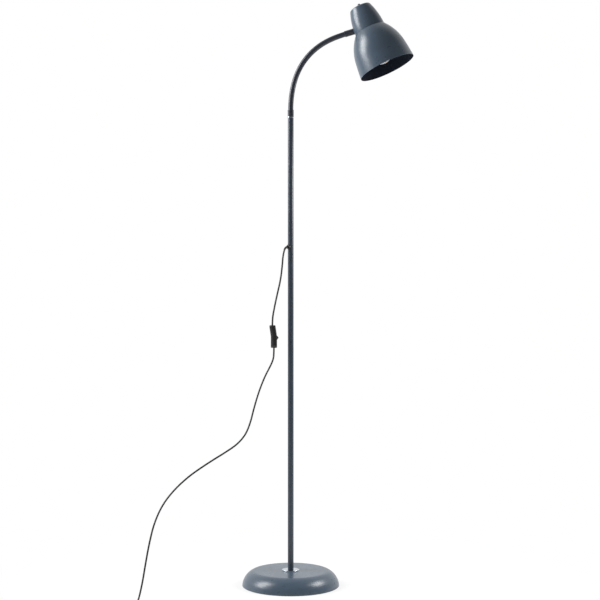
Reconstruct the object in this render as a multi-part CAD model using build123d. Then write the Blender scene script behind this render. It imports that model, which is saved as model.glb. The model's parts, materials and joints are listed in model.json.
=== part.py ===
"""Gooseneck reading floor lamp, in millimetres and degrees.

The origin is the centre of the base's underside, +Z is up, and +X is the way the neck leans out.
The neck and head lie in the XZ plane.
"""

from build123d import *
import math
import os

# Fits
fit_gap = 0.08  # a threaded or pressed piece in its hole
running_gap = 0.06  # a pivot pin in its hole
joint_gap = 0.3  # between the curved faces of two neck links

# Base
base_radius = 125.0
base_height = 39.0
base_edge_radius = 22.0
base_edge_turn = 30.0
base_side_radius = 43.9
base_side_turn = 55.0
base_hem_radius = 1.6
base_hem_length = 4.0
cover_wall = 1.2
pad_thickness = 2.5
pad_radius = 117.0
weight_radius = 115.0
weight_thickness = 13.0
weight_hub_radius = 22.0
foot_ring_radius = 22.5
foot_ring_height = 2.1
foot_ring_edge = 0.8
foot_stud_radius = 5.0
foot_plug_length = 25.0
foot_nut_across = 17.0
foot_nut_height = 6.0
washer_radius = 8.5
washer_thickness = 1.4
nut_room = 2.5
foot_stud_length = 57.0

# Pole
pole_radius = 7.5
pole_wall = 1.0
pole_section = 389.3
pole_edge = 0.3
coupler_length = 50.0
coupler_bore = 4.0

# Leads inside the lamp
lead_radius = 1.7
lead_bend = 3.5
lead_rise = 0.5  # above the lampholder's core
lead_stand_off = 0.9  # between its bend and the lampholder

# Neck: straight links hinged one to the next, each turned a little from the one before
neck_radius = 6.75
neck_bore = 4.5
neck_pitch = 21.6
neck_turns = (4.4, 4.5, 5.0, 6.3, 7.5, 8.0, 7.9, 7.9, 7.8, 6.9, 5.4, 3.6)
neck_skirt = 3.0
ferrule_radius = 7.9
ferrule_groove = 0.5
ferrule_groove_pitch = 3.6
lower_ferrule_height = 19.0
lower_spigot_length = 20.0
upper_ferrule_length = 24.0
ferrule_socket = 8.0
cup_spigot_radius = 5.0
cup_spigot_length = 10.5
neck_nut_across = 15.0
neck_nut_height = 4.0

# Head: measured from the centre of the shade's mouth, up the head's own axis
entry_lean = 9.5  # between the neck's end and a square line into the cup
cup_entry_height = 14.4  # above the cup's rim
shade_mouth_radius = 73.1
shade_mouth_lean = 4.2
shade_side_radius = 700.0
shade_side_turn = 3.6
shade_shoulder_radius = 125.0
shade_shoulder_turn = 32.5
shade_wall = 0.8
cup_rim_inset = 0.2
cup_lean = 0.6
cup_side_radius = 172.0
cup_side_turn = 20.7
cup_edge_radius = 5.0
cup_wall = 1.0
finial_radius = 4.2
finial_height = 9.0
holder_stud_radius = 2.5
spacer_radius = 6.5

# Bulb and lampholder
bulb_radius = 30.0
bulb_set_back = 12.5
bulb_length = 105.0
bulb_shoulder_turn = 41.0
bulb_neck_radius = 12.6
bulb_glass_wall = 1.0
bulb_cap_radius = 13.2
bulb_cap_length = 27.0
bulb_cap_wall = 0.5
bulb_tip_height = 3.0
bulb_tip_radius = 4.5
holder_radius = 19.9
holder_wall = 2.0
holder_skirt = 22.0
holder_flange_radius = 23.5
holder_flange_height = 2.5
holder_core_height = 9.0
holder_cap_straight = 12.0
holder_cap_height = 26.0
holder_collar_radius = 8.0
holder_contact_radius = 5.5
holder_contact_thickness = 0.8
terminal_radius = 1.75
terminal_height = 4.0
terminal_spread = 9.0
shade_ring_radius = 26.0
shade_ring_height = 8.0

# Mains lead
cord_radius = 2.25
exit_height = 874.0
exit_angle = 49.0  # from -X towards -Y
bush_hole_radius = 3.6
bush_flange_radius = 6.0
bush_flange_reach = 1.6
bush_inner_reach = 4.6
nose_root_radius = 3.1
nose_tip_radius = 2.5
nose_bend_radius = 12.0
nose_turn = 70.0

# Inline switch: its local X points out of the rocker's face, and Z is along the lead
switch_place = (-36.6, -36.6, 643.4)
switch_facing = 11.0  # from +X towards +Y
switch_length = 58.0
switch_width = 25.0
switch_depth = 15.8
switch_back_depth = 6.3
switch_lean = 8.2
switch_wall = 1.6
switch_corner = 7.0
switch_edge = 2.4
switch_bend_radius = 15.0
rocker_radius = 6.0
rocker_width = 8.0
rocker_sink = 3.2
rocker_drop = 3.0
rocker_ridge = 1.1
rocker_ridge_width = 2.4
rocker_gap = 0.35
rocker_pin_radius = 1.2
rocker_pin_reach = 2.2
cheek_thickness = 1.8
cheek_half_height = 3.4
switch_screw_radius = 1.2
switch_screw_head = 2.3
switch_boss_radius = 2.7
switch_screw_sink = 0.4
switch_screw_head_height = 1.0
switch_screw_grip = 5.0
switch_screw_places = ((7.0, -17.0), (-7.0, 17.0))
terminal_depth = 3.0
terminal_width = 6.0
terminal_length = 7.0
terminal_middle = 14.0

# Put-away coil, tie and plug, on the floor
cord_lift = 0.8  # the lead rests on its tie
coil_pitch = 5.0
coil_inner_radius = 20.5
coil_turns = 4.25
coil_spans = 18
coil_centre = (-284.0, -319.0)
coil_start_angle = 191.0
tie_wall = 0.6
tie_width = 6.0
tie_angle = 60.0
tie_flat_gap = 0.2
tie_side_gap = 0.5
tie_corner = 2.0
plug_lead_run = 14.0
plug_neck_length = 22.0
plug_neck_radius = 3.4
plug_length = 34.0
plug_width = 26.0
plug_height = 15.4
plug_edge = 5.0
pin_radius = 2.0
pin_length = 19.0
pin_spacing = 19.0
pin_seat = 6.0

# The lead's route, chosen by hand: from the bush's nose to the switch, and from the switch to the coil
upper_route = (
    (-17.9, -20.8, 826.0),
    (-21.8, -23.6, 789.0),
    (-30.7, -29.3, 747.0),
    (-37.2, -34.8, 711.0),
)
lower_route = (
    (-38.0, -39.0, 585.0),
    (-44.0, -43.2, 569.0),
    (-57.3, -51.4, 542.0),
    (-70.6, -62.0, 503.5),
    (-81.0, -72.4, 462.5),
    (-87.6, -81.3, 428.0),
    (-98.1, -90.8, 397.0),
    (-116.5, -103.1, 373.5),
    (-143.2, -119.5, 354.5),
    (-169.8, -136.9, 337.5),
    (-194.0, -154.5, 321.0),
    (-224.0, -174.0, 299.0),
    (-255.8, -193.4, 268.0),
    (-281.3, -211.0, 232.0),
    (-297.5, -226.5, 189.0),
    (-305.7, -240.0, 142.0),
    (-310.5, -254.0, 96.0),
    (-313.5, -268.0, 55.0),
    (-316.3, -283.0, 24.5),
    (-318.0, -296.0, 9.8),
)
landing_run = 16.0
switch_lead_run = 15.0
nose_lead_run = 14.0


def sine(angle):
    return math.sin(math.radians(angle))


def cosine(angle):
    return math.cos(math.radians(angle))


def turned(*corners):
    """A solid of revolution about Z, from its half outline in (radius, height) corners."""
    outline = Polyline(*[(radius, 0, height) for radius, height in corners], close=True)
    return revolve(make_face(outline), Axis.Z)


def rod(radius, bottom, top, bore=0.0):
    """An upright bar on Z, or a tube where it has a bore."""
    if bore:
        return turned((bore, bottom), (radius, bottom), (radius, top), (bore, top))
    return turned((0, bottom), (radius, bottom), (radius, top), (0, top))


def hexagon_nut(across, bottom, top, bore):
    nut = extrude(Pos(0, 0, bottom) * RegularPolygon(across / 2, 6, major_radius=False), top - bottom)
    return nut - rod(bore, bottom, top)


def arc_end(radius, height, lean, arc_radius, turn):
    """Where a wall that leans inwards ends, after an arc that leans it further."""
    end_lean = lean + turn
    return (
        radius - arc_radius * (cosine(lean) - cosine(end_lean)),
        height + arc_radius * (sine(end_lean) - sine(lean)),
        end_lean,
    )


def leaning_arc(radius, height, lean, arc_radius, turn):
    """The arc that arc_end describes, as an edge in the XZ plane."""
    middle = arc_end(radius, height, lean, arc_radius, turn / 2)
    end = arc_end(radius, height, lean, arc_radius, turn)
    return ThreePointArc((radius, 0, height), (middle[0], 0, middle[1]), (end[0], 0, end[1]))


# Heights that several pieces share
base_top = base_height
pole_foot = base_top + foot_ring_height
pole_top = pole_foot + 3 * pole_section
pole_bore = pole_radius - pole_wall
ferrule_top = pole_top + lower_ferrule_height
weight_bottom = pad_thickness
nut_recess_top = weight_bottom + nut_room + foot_nut_height + washer_thickness
foot_nut_top = nut_recess_top - washer_thickness


# Base


def base_cover():
    """Spun steel: a flat top, a round edge, a bellied side and a hem turned in at the floor."""
    side_lean = 90 - base_edge_turn - base_side_turn
    flat_radius = (
        base_radius
        - base_edge_radius * sine(base_edge_turn)
        - base_side_radius * (cosine(side_lean) - cosine(90 - base_edge_turn))
    )
    top = Line((0, base_top), (flat_radius, base_top))
    edge = JernArc(top @ 1, (1, 0), base_edge_radius, -base_edge_turn)
    side = JernArc(edge @ 1, edge % 1, base_side_radius, -base_side_turn)
    hem = JernArc(side @ 1, side % 1, base_hem_radius, -(90 + side_lean))
    lip = Line(hem @ 1, hem @ 1 - (base_hem_length, 0))
    outline = Wire([top.edge(), edge.edge(), side.edge(), hem.edge(), lip.edge()])
    band = make_face(outline.offset_2d(cover_wall, side=Side.RIGHT))
    shell = revolve(Plane.XZ * band, Axis.Z)
    return shell - rod(foot_stud_radius + fit_gap, 0, base_top)


def base_weight():
    """Cast iron: a disc with a hub that the cover's middle rests on, and a recess for the foot nut."""
    disc_top = weight_bottom + weight_thickness
    hub_top = base_top - cover_wall
    casting = turned(
        (0, weight_bottom),
        (weight_radius, weight_bottom),
        (weight_radius, disc_top),
        (weight_hub_radius, disc_top),
        (weight_hub_radius, hub_top),
        (0, hub_top),
    )
    recess = rod(foot_nut_across / 2 + nut_room, weight_bottom, nut_recess_top)
    return casting - recess - rod(foot_stud_radius + fit_gap, weight_bottom, hub_top)


def base_pad():
    return rod(pad_radius, 0, pad_thickness)


def foot_ring():
    """The polished ring that the pole stands on."""
    ring = rod(foot_ring_radius, base_top, pole_foot, foot_stud_radius + fit_gap)
    rim = ring.edges().filter_by(GeomType.CIRCLE).group_by(SortBy.RADIUS)[-1].sort_by(Axis.Z)[-1]
    return fillet(rim, foot_ring_edge)


def foot_plug():
    top = pole_foot + foot_plug_length
    return rod(pole_bore - fit_gap, pole_foot, top, foot_stud_radius + fit_gap)


def foot_stud():
    bottom = foot_nut_top - foot_nut_height
    return rod(foot_stud_radius, bottom, bottom + foot_stud_length)


def lock_washer():
    return rod(washer_radius, foot_nut_top, nut_recess_top, foot_stud_radius + fit_gap)


def foot_nut():
    return hexagon_nut(
        foot_nut_across, foot_nut_top - foot_nut_height, foot_nut_top, foot_stud_radius + fit_gap
    )


# Pole


def pole_tube(number):
    """One of the three tubes, counted from the foot. Their rims are eased, so each seam shows as a line."""
    bottom = pole_foot + number * pole_section
    tube = turned(
        (pole_bore, bottom),
        (pole_radius - pole_edge, bottom),
        (pole_radius, bottom + pole_edge),
        (pole_radius, bottom + pole_section - pole_edge),
        (pole_radius - pole_edge, bottom + pole_section),
        (pole_bore, bottom + pole_section),
    )
    if bottom < exit_height < bottom + pole_section:
        tube -= exit_frame() * rod(bush_hole_radius + fit_gap, 0, 2 * pole_radius)
    return tube


def pole_coupler(number):
    """The threaded bush inside the seam above one of the tubes."""
    seam = pole_foot + (number + 1) * pole_section
    half = coupler_length / 2
    return rod(pole_bore - fit_gap, seam - half, seam + half, coupler_bore)


def exit_frame():
    """On the pole's axis where the mains lead leaves it, with Z pointing out along the lead."""
    out = (-cosine(exit_angle), -sine(exit_angle), 0)
    return Plane(origin=(0, 0, exit_height), x_dir=(0, 0, -1), z_dir=out).location


def nose_arc():
    """The bend of the bush's nose in exit_frame, where X points down. The lead starts at its far end."""
    reach = pole_radius + bush_flange_reach
    half_turn = nose_turn / 2
    return ThreePointArc(
        (0, 0, reach),
        (nose_bend_radius * (1 - cosine(half_turn)), 0, reach + nose_bend_radius * sine(half_turn)),
        (nose_bend_radius * (1 - cosine(nose_turn)), 0, reach + nose_bend_radius * sine(nose_turn)),
    )


def cord_bush():
    """Moulded bush: a barrel in the pole's wall, a flange outside it and a nose that bends the lead down."""
    flange_top = pole_radius + bush_flange_reach
    flange = rod(bush_flange_radius, 0, flange_top)
    barrel = rod(bush_hole_radius, bush_inner_reach, flange_top)
    path = nose_arc()
    root = Plane(origin=path @ 0, z_dir=path % 0) * Circle(nose_root_radius)
    tip = Plane(origin=path @ 1, z_dir=path % 1) * Circle(nose_tip_radius)
    nose = sweep([root, tip], path=path, multisection=True)
    bush = exit_frame() * (flange + nose)
    bush -= rod(pole_radius, exit_height - pole_section, exit_height + pole_section)
    return bush + exit_frame() * barrel


# Neck


class Station:
    """A hinge of the neck: its centre, and the leans from upright of the links below and above it."""

    def __init__(self, centre, lean_below, lean_above):
        self.centre = centre
        self.lean_below = lean_below
        self.lean_above = lean_above


def heading(lean):
    return Vector(sine(lean), 0, cosine(lean))


def frame_at(point, lean):
    """At a point of the neck's line, with Z along it and Y kept."""
    return Plane(origin=point, x_dir=(cosine(lean), 0, -sine(lean)), z_dir=heading(lean)).location


def neck_stations():
    stations = []
    centre = Vector(0, 0, ferrule_top + neck_pitch / 2)
    lean = 0.0
    for turn in neck_turns:
        stations.append(Station(centre, lean, lean + turn))
        lean += turn
        centre = centre + heading(lean) * neck_pitch
    return stations


stations = neck_stations()
neck_end_lean = stations[-1].lean_above
neck_end = stations[-1].centre + heading(neck_end_lean) * (neck_pitch / 2)
cup_seat = neck_end + heading(neck_end_lean) * upper_ferrule_length


def link(bottom, top, has_socket, has_ball):
    """A link along Z between two hinges: a hollow at its lower one, at 0, and a ball at its upper one."""
    hollow = neck_radius + joint_gap
    if has_socket:
        low_angle = math.asin(neck_skirt / hollow)
        high_angle = math.acos(neck_bore / hollow)
        mid_angle = (low_angle + high_angle) / 2
        angles = (high_angle, mid_angle, low_angle)
        corners = [(hollow * math.cos(angle), 0, hollow * math.sin(angle)) for angle in angles]
        lower = [
            ThreePointArc(*corners),
            Line(corners[2], (neck_radius, 0, neck_skirt)),
            Line((neck_radius, 0, neck_skirt), (neck_radius, 0, top)),
        ]
        inner_start = corners[0]
    else:
        lower = [
            Line((neck_bore, 0, bottom), (neck_radius, 0, bottom)),
            Line((neck_radius, 0, bottom), (neck_radius, 0, top)),
        ]
        inner_start = (neck_bore, 0, bottom)
    if has_ball:
        end_angle = math.acos(neck_bore / neck_radius)
        angles = (0, end_angle / 2, end_angle)
        crown = [(neck_radius * math.cos(angle), 0, top + neck_radius * math.sin(angle)) for angle in angles]
        upper = [ThreePointArc(*crown), Line(crown[2], inner_start)]
    else:
        upper = [
            Line((neck_radius, 0, top), (neck_bore, 0, top)),
            Line((neck_bore, 0, top), inner_start),
        ]
    return revolve(make_face(Curve() + lower + upper), Axis.Z)


def neck_root_link():
    """The fixed end of the flexible neck, in the lower ferrule's socket."""
    half = neck_pitch / 2
    return Pos(0, 0, ferrule_top) * link(-ferrule_socket, half, has_socket=False, has_ball=True)


def neck_link(number):
    """The link above the hinge of this number, counted from 0."""
    station = stations[number]
    return frame_at(station.centre, station.lean_above) * link(0, neck_pitch, has_socket=True, has_ball=True)


def neck_tip_link():
    station = stations[-1]
    length = neck_pitch / 2 + ferrule_socket
    return frame_at(station.centre, station.lean_above) * link(0, length, has_socket=True, has_ball=False)


def ferrule(length, grooves, groove_start):
    """A grooved sleeve from 0 up to its length, outside only."""
    corners = [(0, 0), (ferrule_radius - ferrule_groove, 0), (ferrule_radius, ferrule_groove)]
    for number in range(grooves):
        middle = groove_start + number * ferrule_groove_pitch
        corners += [
            (ferrule_radius, middle - ferrule_groove),
            (ferrule_radius - ferrule_groove, middle),
            (ferrule_radius, middle + ferrule_groove),
        ]
    corners += [(ferrule_radius, length - ferrule_groove), (ferrule_radius - ferrule_groove, length)]
    return turned(*corners, (0, length))


def neck_lower_ferrule():
    """Sleeve on the pole's top: a spigot in the pole, and a socket that holds the neck's end."""
    grooves = int((lower_ferrule_height - ferrule_groove_pitch) / ferrule_groove_pitch)
    body = Pos(0, 0, pole_top) * ferrule(lower_ferrule_height, grooves, ferrule_groove_pitch)
    body += rod(pole_bore - fit_gap, pole_top - lower_spigot_length, pole_top)
    body -= rod(neck_radius + fit_gap, ferrule_top - ferrule_socket, ferrule_top)
    return body - rod(neck_bore, pole_top - lower_spigot_length, ferrule_top)


def neck_upper_ferrule():
    """Sleeve between the neck and the cup: its end is shaped to the cup, and its spigot goes through."""
    grooves = int((upper_ferrule_length - 2 * ferrule_groove_pitch) / ferrule_groove_pitch)
    over_length = upper_ferrule_length + ferrule_radius / 2
    frame = frame_at(neck_end, neck_end_lean)
    body = frame * ferrule(over_length, grooves, ferrule_groove_pitch) - cup_body()
    spigot_end = upper_ferrule_length + cup_wall + cup_spigot_length
    body += frame * rod(cup_spigot_radius, ferrule_socket, spigot_end)
    body -= frame * rod(neck_radius + fit_gap, 0, ferrule_socket)
    return body - frame * rod(lead_radius + joint_gap, 0, spigot_end)


def neck_nut():
    """Holds the ferrule to the cup from inside. Its corners meet the cup's round wall."""
    inner_radius = cup_radius_at(cup_entry_height) - cup_wall
    half = neck_nut_across / math.sqrt(3)
    bulge = inner_radius - math.sqrt(inner_radius**2 - half**2)
    wall_lean = cup_lean + cup_entry_height / cup_side_radius * 180 / math.pi
    tilt = half * math.tan(math.radians(abs(entry_lean - wall_lean)))
    bottom = upper_ferrule_length + cup_wall + bulge + tilt
    nut = hexagon_nut(neck_nut_across, bottom, bottom + neck_nut_height, cup_spigot_radius + fit_gap)
    return frame_at(neck_end, neck_end_lean) * nut


# Head


shade_side_end = arc_end(shade_mouth_radius, 0, shade_mouth_lean, shade_side_radius, shade_side_turn)
shade_shoulder_end = arc_end(*shade_side_end, shade_shoulder_radius, shade_shoulder_turn)
shade_top_radius, shade_top = shade_shoulder_end[:2]
cup_rim_radius = shade_top_radius - cup_rim_inset
cup_side_end = arc_end(cup_rim_radius, shade_top, cup_lean, cup_side_radius, cup_side_turn)
cup_edge_end = arc_end(*cup_side_end, cup_edge_radius, 90 - cup_side_end[2])
cup_top = cup_edge_end[1]
contact_height = bulb_set_back + bulb_length
core_bottom = contact_height + holder_contact_thickness
holder_top = core_bottom + holder_core_height
holder_cap_top = holder_top + holder_cap_height
lead_height = holder_top + lead_radius + lead_rise


def cup_radius_at(height):
    """The cup's outer radius at a height above its rim, on its side's arc."""
    lean = math.degrees(math.asin(sine(cup_lean) + height / cup_side_radius))
    return cup_rim_radius - cup_side_radius * (cosine(cup_lean) - cosine(lean))


def head_frame():
    """At the centre of the shade's mouth, with Z up the head's axis. The neck's end sets its place."""
    tilt = 90 - neck_end_lean + entry_lean
    across = Vector(cosine(tilt), 0, sine(tilt))
    along = Vector(-sine(tilt), 0, cosine(tilt))
    seat_radius = cup_radius_at(cup_entry_height)
    origin = cup_seat + across * seat_radius - along * (shade_top + cup_entry_height)
    return Plane(origin=origin, x_dir=across, z_dir=along).location


def hollow_turned(edges, wall):
    """A spun shell: the outline's edges and the lines that close it on the axis, open at the bottom."""
    first, last = edges[0] @ 0, edges[-1] @ 1
    closing = [
        Line(last, (0, 0, last.Z)),
        Line((0, 0, last.Z), (0, 0, first.Z)),
        Line((0, 0, first.Z), first),
    ]
    body = revolve(make_face(Curve() + edges + closing), Axis.Z)
    return body, offset(body, amount=-wall, openings=body.faces().sort_by(Axis.Z)[0])


def shade():
    """Spun bell: a nearly straight side, a round shoulder and a flat top with the lampholder's hole."""
    edges = [
        leaning_arc(shade_mouth_radius, 0, shade_mouth_lean, shade_side_radius, shade_side_turn),
        leaning_arc(*shade_side_end, shade_shoulder_radius, shade_shoulder_turn),
    ]
    shell = hollow_turned(edges, shade_wall)[1]
    return head_frame() * (shell - rod(holder_radius + joint_gap, 0, shade_top))


def cup_edges():
    return [
        leaning_arc(cup_rim_radius, shade_top, cup_lean, cup_side_radius, cup_side_turn),
        leaning_arc(*cup_side_end, cup_edge_radius, 90 - cup_side_end[2]),
    ]


def cup_body():
    """The cup's outer shape, filled."""
    return head_frame() * hollow_turned(cup_edges(), cup_wall)[0]


def socket_cup():
    """Spun cup over the lampholder, with a hole for its stud and one for the neck's spigot."""
    shell = hollow_turned(cup_edges(), cup_wall)[1]
    cup = head_frame() * (shell - rod(holder_stud_radius + fit_gap, shade_top, cup_top))
    spigot_end = upper_ferrule_length + cup_spigot_length
    return cup - frame_at(neck_end, neck_end_lean) * rod(cup_spigot_radius + fit_gap, 0, spigot_end)


def finial_nut():
    """Small capped nut on the cup's top."""
    nut = rod(finial_radius, cup_top, cup_top + finial_height)
    nut = fillet(nut.edges().sort_by(Axis.Z)[-1], finial_radius / 3)
    return nut - rod(holder_stud_radius + fit_gap, cup_top, cup_top + 2 * finial_height / 3)


def holder_stud():
    bottom = holder_cap_top - finial_height / 2
    return rod(holder_stud_radius, bottom, cup_top + finial_height / 2)


def holder_spacer():
    """Tube that keeps the lampholder at its distance under the cup's top."""
    return rod(spacer_radius, holder_cap_top, cup_top - cup_wall, holder_stud_radius + fit_gap)


def lampholder_shell():
    """Moulded sleeve round the bulb's cap, with the flange that the shade's top hangs from."""
    bore = bulb_cap_radius + 2 * joint_gap
    return turned(
        (bore, shade_top - holder_skirt),
        (holder_radius, shade_top - holder_skirt),
        (holder_radius, shade_top),
        (holder_flange_radius, shade_top),
        (holder_flange_radius, shade_top + holder_flange_height),
        (holder_radius, shade_top + holder_flange_height),
        (holder_radius, holder_top),
        (holder_radius - holder_wall, holder_top),
        (holder_radius - holder_wall, core_bottom),
        (bore, core_bottom),
    )


def lampholder_core():
    return rod(holder_radius - holder_wall - fit_gap, core_bottom, holder_top)


def lampholder_contact():
    return rod(holder_contact_radius, contact_height, core_bottom)


def lampholder_terminals():
    """Two screws on the core's back."""
    screw = rod(terminal_radius, holder_top, holder_top + terminal_height)
    return Part() + [Pos(side * terminal_spread, 0, 0) * screw for side in (-1, 1)]


def lampholder_cap():
    """Domed back of the lampholder, with a tapped collar for the stud."""
    straight_top = holder_top + holder_cap_straight
    inner = holder_radius - holder_wall
    inner_top = holder_cap_top - finial_height
    cap = turned(
        (inner, holder_top),
        (holder_radius, holder_top),
        (holder_radius, straight_top),
        (holder_collar_radius, holder_cap_top),
        (0, holder_cap_top),
        (0, inner_top),
        (holder_collar_radius - holder_wall, inner_top),
        (inner, straight_top),
    )
    cap -= rod(holder_stud_radius + fit_gap, inner_top, holder_cap_top)
    return cap - Pos(0, 0, lead_height) * Rot(0, -90, 0) * rod(lead_radius + fit_gap, 0, 2 * holder_radius)


def shade_ring():
    """Threaded ring that holds the shade up against the lampholder's flange."""
    top = shade_top - shade_wall
    return rod(shade_ring_radius, top - shade_ring_height, top, holder_radius + fit_gap)


def bulb_glass():
    """Pear-shaped glass: a ball that a hollow curve draws in to the neck, which stands in the screw cap."""
    centre = bulb_set_back + bulb_radius
    cap_edge = contact_height - bulb_cap_length
    neck_start = cap_edge - bulb_tip_height
    shoulder = (
        bulb_radius * cosine(bulb_shoulder_turn),
        0,
        centre + bulb_radius * sine(bulb_shoulder_turn),
    )
    ball = ThreePointArc((0, 0, bulb_set_back), (bulb_radius, 0, centre), shoulder)
    draw_in = TangentArc(shoulder, (bulb_neck_radius, 0, neck_start), tangent=ball % 1)
    neck_top = cap_edge + bulb_tip_height
    outline = [
        ball,
        draw_in,
        Line(draw_in @ 1, (bulb_neck_radius, 0, neck_top)),
        Line((bulb_neck_radius, 0, neck_top), (0, 0, neck_top)),
        Line((0, 0, neck_top), (0, 0, bulb_set_back)),
    ]
    body = revolve(make_face(Curve() + outline), Axis.Z)
    return offset(body, amount=-bulb_glass_wall, openings=body.faces().sort_by(Axis.Z)[-1])


def bulb_cap():
    """Thin screw cap, closed at its end round the contact."""
    edge = contact_height - bulb_cap_length
    end = contact_height - bulb_tip_height
    shoulder = end - bulb_tip_height / 2
    inner = bulb_cap_radius - bulb_cap_wall
    return turned(
        (inner, edge),
        (bulb_cap_radius, edge),
        (bulb_cap_radius, shoulder),
        (bulb_tip_radius, end),
        (0, end),
        (0, end - bulb_cap_wall),
        (bulb_tip_radius, end - bulb_cap_wall),
        (inner, shoulder - bulb_cap_wall),
    )


def bulb_tip():
    return rod(bulb_tip_radius, contact_height - bulb_tip_height, contact_height)


# Leads


def bend_radii(points):
    """The largest radius that each corner of a run of points has room for, with a little straight between."""
    radii = []
    for before, corner, after in zip(points, points[1:], points[2:]):
        arriving = corner - before
        leaving = after - corner
        shorter = min(arriving.length, leaving.length)
        radii.append(0.45 * shorter / math.tan(math.radians(arriving.get_angle(leaving) / 2)))
    return radii


def lead_along(points, radius, radii):
    """A round lead along straight runs with rounded corners."""
    path = FilletPolyline(*points, radius=radii)
    return sweep(Plane(origin=path @ 0, z_dir=path % 0) * Circle(radius), path=path)


def mains_lead(name, points):
    points = [Vector(*point) for point in points]
    radii = bend_radii(points)
    lead = lead_along(points, cord_radius, radii)
    length = lead.volume / (math.pi * cord_radius**2)
    path_length = FilletPolyline(*points, radius=radii).length
    print(name, "least bend", round(min(radii), 1), "length", round(path_length, 1), round(length, 1))
    return lead


def pole_lead():
    """From the bush across to the pole's axis, and up to the neck."""
    inner_end = exit_frame() * Pos(0, 0, bush_inner_reach)
    points = [inner_end.position, Vector(0, 0, exit_height), Vector(0, 0, ferrule_top)]
    return lead_along(points, lead_radius, [lead_bend])


def neck_lead():
    """Through the neck's links, from one ferrule to the other."""
    points = [Vector(0, 0, ferrule_top)] + [station.centre for station in stations] + [neck_end]
    return lead_along(points, lead_radius, bend_radii(points))


def head_lead():
    """From the neck's end through the ferrule, up beside the lampholder and in to a terminal."""
    start = head_frame().inverse() * frame_at(neck_end, neck_end_lean)
    stand = holder_radius + lead_stand_off + lead_bend
    reach = (cup_radius_at(cup_entry_height) - stand) / cosine(entry_lean)
    turn_up = (start * Pos(0, 0, upper_ferrule_length + reach)).position
    turn_in = Vector(turn_up.X, 0, lead_height)
    end = Vector(-terminal_spread - terminal_radius, 0, lead_height)
    lead = lead_along([start.position, turn_up, turn_in, end], lead_radius, [lead_bend, lead_bend])
    return head_frame() * lead


# Inline switch


switch_shift = math.tan(math.radians(switch_lean))
switch_front_face = switch_depth / 2
switch_half = switch_length / 2
switch_split = switch_back_depth - switch_depth / 2
switch_top_shift = switch_half * switch_shift
rocker_set = switch_front_face - rocker_sink
cheek_inner = rocker_width / 2 + rocker_gap
cheek_outer = cheek_inner + cheek_thickness


def switch_frame():
    facing = (cosine(switch_facing), sine(switch_facing), 0)
    return Plane(origin=switch_place, x_dir=facing, z_dir=(0, 0, 1)).location


def lean_at(height):
    """How far the switch's upper half has leaned back at a height above its middle."""
    return max(height, 0) * switch_shift


def switch_block(inset):
    """The switch's outer shape, or the same shape inside its walls."""
    half = switch_half - inset
    depth = switch_front_face - inset
    back = lean_at(half)
    outline = Polyline(
        (depth, 0, -half),
        (depth, 0, 0),
        (depth - back, 0, half),
        (-depth - back, 0, half),
        (-depth, 0, 0),
        (-depth, 0, -half),
        close=True,
    )
    side = make_face(outline)
    bends = [corner for corner in side.vertices() if abs(corner.Z) < switch_wall]
    side = fillet(bends, switch_bend_radius)
    block = extrude(side, switch_width / 2 - inset, both=True)
    block = fillet(block.edges().filter_by(Axis.X), switch_corner - inset)
    return fillet(block.edges().filter_by(Axis.Y).group_by(Axis.Z)[0], switch_edge - inset)


def behind_split():
    """Everything behind the joint between the switch's two halves."""
    reach = 2 * switch_length
    outline = Polyline(
        (switch_split, 0, -reach),
        (switch_split, 0, 0),
        (switch_split - lean_at(reach), 0, reach),
        (-reach, 0, reach),
        (-reach, 0, -reach),
        close=True,
    )
    return extrude(make_face(outline), reach, both=True)


def crosswise(radius, start, end, side, height):
    """A bar along the switch's X."""
    return Pos(0, side, height) * Rot(0, 90, 0) * rod(radius, start, end)


def switch_casing():
    """Both halves in one: walls, screw columns, and holes for the lead and the screws."""
    casing = switch_block(0) - switch_block(switch_wall)
    core = switch_block(switch_wall / 2)
    for side, height in switch_screw_places:
        casing += crosswise(switch_boss_radius, -switch_length, switch_length, side, height) & core
    for side, height in switch_screw_places:
        seat = -switch_front_face - lean_at(height) + switch_screw_sink + switch_screw_head_height
        tip = switch_split - lean_at(height) + switch_screw_grip
        casing -= crosswise(switch_screw_head + fit_gap, -switch_length, seat, side, height)
        casing -= crosswise(switch_screw_radius + fit_gap, -switch_length, tip, side, height)
    casing -= rod(cord_radius + fit_gap, -switch_length, -terminal_middle)
    return casing - Pos(-switch_top_shift, 0, 0) * rod(cord_radius + fit_gap, terminal_middle, switch_length)


def terminal_places():
    return ((0, -terminal_middle), (-switch_top_shift, terminal_middle))


def switch_back():
    """The shallow half, with a post behind each terminal."""
    shell = switch_casing() & behind_split()
    for axis, height in terminal_places():
        start = switch_wall / 2 - switch_front_face - lean_at(height)
        end = axis - terminal_depth / 2
        post = Box(end - start, terminal_width - 1, terminal_width - 1)
        shell += Pos((start + end) / 2, 0, height) * post
    return switch_frame() * shell


def rocker_bar(radius, width):
    """A bar along the rocker's pivot."""
    return Pos(rocker_set, 0, -rocker_drop) * Rot(90, 0, 0) * rod(radius, -width / 2, width / 2)


def switch_front():
    """The deep half: the rocker's window, and a cheek on each side of it with a hole for a pivot pin."""
    shell = switch_casing() - behind_split()
    shell -= rocker_bar(rocker_radius + rocker_gap, 2 * cheek_inner)
    inner = rocker_set - cheek_half_height
    outer = switch_front_face - switch_wall / 2
    for side in (-1, 1):
        cheek = Box(outer - inner, cheek_thickness, 2 * cheek_half_height)
        shell += Pos((inner + outer) / 2, side * (cheek_inner + cheek_outer) / 2, -rocker_drop) * cheek
    return switch_frame() * (shell - rocker_bar(rocker_pin_radius + running_gap, 2 * cheek_outer))


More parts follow.
